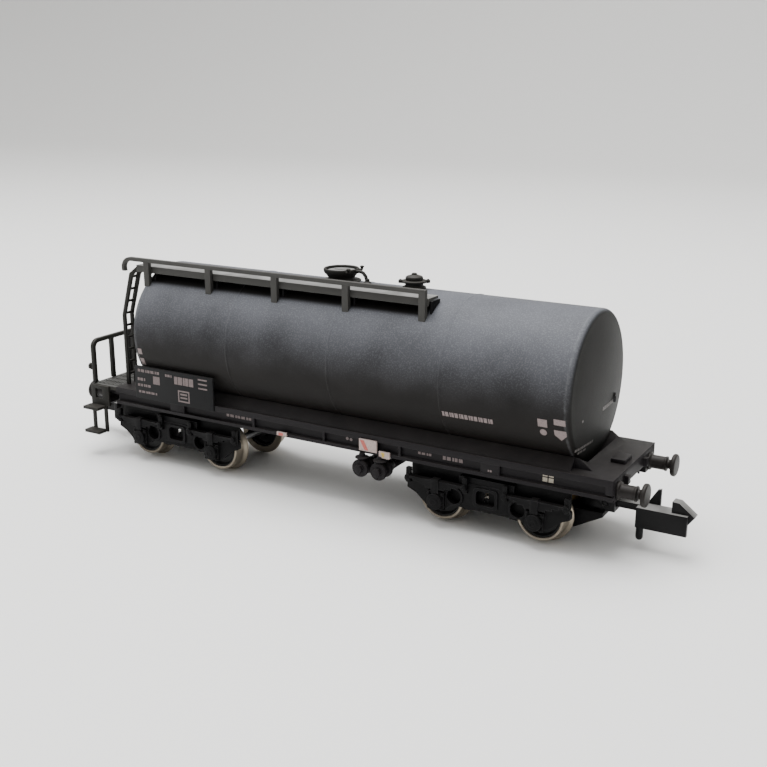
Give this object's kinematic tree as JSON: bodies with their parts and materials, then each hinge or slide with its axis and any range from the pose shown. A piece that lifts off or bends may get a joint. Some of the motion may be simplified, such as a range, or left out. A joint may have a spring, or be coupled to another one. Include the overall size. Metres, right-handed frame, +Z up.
{
  "type": "model tank wagon",
  "caption": "Bogie tank wagon for 9 mm gauge model track: round tank on a flat underframe, top walkway, ladder, brake platform, swivelling bogies, turning wheelsets and hook couplers.",
  "frame": {"origin": "on the floor under the wheel flanges, at the middle of the model's length and width", "axes": "+X along the wagon towards the end without the brake platform, +Z up, the walkway on the -Y side"},
  "size_m": [0.0916, 0.0184, 0.0289],
  "materials": {
    "tank_grey": "matte sprayed finish, dark slate grey",
    "frame_black": "satin moulded plastic, near black",
    "fitting_grey": "satin moulded plastic, dark olive grey",
    "board_grey": "matte moulded plastic with light printed blocks",
    "placard_white": "matte printed plastic",
    "buffer_grey": "satin moulded plastic, dark brownish grey",
    "wheel_nickel": "warm turned nickel silver",
    "wheel_black": "satin moulded plastic",
    "axle_steel": "turned steel",
    "coupler_black": "satin moulded plastic",
    "brass": "bare brass",
    "screw_steel": "bright steel",
    "ballast": "raw metal"
  },
  "bodies": {
    "wagon": {"tank_barrel": "tank_grey", "tank_end_right": "tank_grey", "tank_end_left": "tank_grey", "ballast_weight": "ballast", "underframe": "frame_black", "brake_platform": "frame_black", "platform_railing": "fitting_grey", "footsteps_near": "fitting_grey", "footsteps_far": "fitting_grey", "lamp_bracket": "fitting_grey", "ladder": "fitting_grey", "walkway_plank": "fitting_grey", "walkway_rail": "fitting_grey", "walkway_brackets": "frame_black", "manhole_neck": "tank_grey", "manhole_lid": "tank_grey", "manhole_clamps": "tank_grey", "vent_valve_body": "tank_grey", "vent_valve_cap": "tank_grey", "signboard_near": "board_grey", "signboard_far": "board_grey", "drain_valves_near": "fitting_grey", "drain_valves_far": "fitting_grey", "drain_pipes": "frame_black", "placards_near": "placard_white", "placards_far": "placard_white", "deck_box": "frame_black", "buffer_right_near": "buffer_grey", "buffer_right_far": "buffer_grey", "buffer_left_near": "buffer_grey", "buffer_left_far": "buffer_grey", "pivot_screw_right": "screw_steel", "pivot_screw_left": "screw_steel"},
    "bogie_right": {"bogie_frame_right": "frame_black", "pivot_bush_right": "brass", "brake_gear_right": "frame_black", "centring_spring_right": "brass"},
    "pocket_right": {"coupler_pocket_right": "coupler_black"},
    "hook_right": {"coupler_right": "coupler_black"},
    "bogie_left": {"bogie_frame_left": "frame_black", "pivot_bush_left": "brass", "brake_gear_left": "frame_black", "centring_spring_left": "brass"},
    "pocket_left": {"coupler_pocket_left": "coupler_black"},
    "hook_left": {"coupler_left": "coupler_black"},
    "wheelset_1": {"axle_1": "axle_steel", "wheel_centres_1": "wheel_black", "wheel_tyres_1": "wheel_nickel"},
    "wheelset_2": {"axle_2": "axle_steel", "wheel_centres_2": "wheel_black", "wheel_tyres_2": "wheel_nickel"},
    "wheelset_3": {"axle_3": "axle_steel", "wheel_centres_3": "wheel_black", "wheel_tyres_3": "wheel_nickel"},
    "wheelset_4": {"axle_4": "axle_steel", "wheel_centres_4": "wheel_black", "wheel_tyres_4": "wheel_nickel"}
  },
  "joints": [
    {"name": "bogie_right_swivel", "type": "hinge", "parent": "wagon", "child": "bogie_right", "pos_m": [0.02317, 0, 0.007], "axis": [0, 0, 1], "range_deg": [-10, 10]},
    {"name": "coupler_right_swing", "type": "hinge", "parent": "bogie_right", "child": "pocket_right", "pos_m": [0.03337, 0, 0.0049], "axis": [0, 0, 1], "range_deg": [-12, 12], "stiffness_Nm_per_rad": 0.00002},
    {"name": "coupler_right_lift", "type": "hinge", "parent": "pocket_right", "child": "hook_right", "pos_m": [0.03557, 0, 0.0049], "axis": [0, -1, 0], "range_deg": [0, 3.5]},
    {"name": "bogie_left_swivel", "type": "hinge", "parent": "wagon", "child": "bogie_left", "pos_m": [-0.02317, 0, 0.007], "axis": [0, 0, 1], "range_deg": [-10, 10]},
    {"name": "coupler_left_swing", "type": "hinge", "parent": "bogie_left", "child": "pocket_left", "pos_m": [-0.03337, 0, 0.0049], "axis": [0, 0, 1], "range_deg": [-12, 12], "stiffness_Nm_per_rad": 0.00002},
    {"name": "coupler_left_lift", "type": "hinge", "parent": "pocket_left", "child": "hook_left", "pos_m": [-0.03557, 0, 0.0049], "axis": [0, 1, 0], "range_deg": [0, 3.5]},
    {"name": "wheelset_1_spin", "type": "hinge", "parent": "bogie_right", "child": "wheelset_1", "pos_m": [0.02947, 0, 0.00344], "axis": [0, 1, 0], "continuous": true},
    {"name": "wheelset_2_spin", "type": "hinge", "parent": "bogie_right", "child": "wheelset_2", "pos_m": [0.01687, 0, 0.00344], "axis": [0, 1, 0], "continuous": true},
    {"name": "wheelset_3_spin", "type": "hinge", "parent": "bogie_left", "child": "wheelset_3", "pos_m": [-0.01687, 0, 0.00344], "axis": [0, 1, 0], "continuous": true},
    {"name": "wheelset_4_spin", "type": "hinge", "parent": "bogie_left", "child": "wheelset_4", "pos_m": [-0.02947, 0, 0.00344], "axis": [0, 1, 0], "continuous": true}
  ]
}
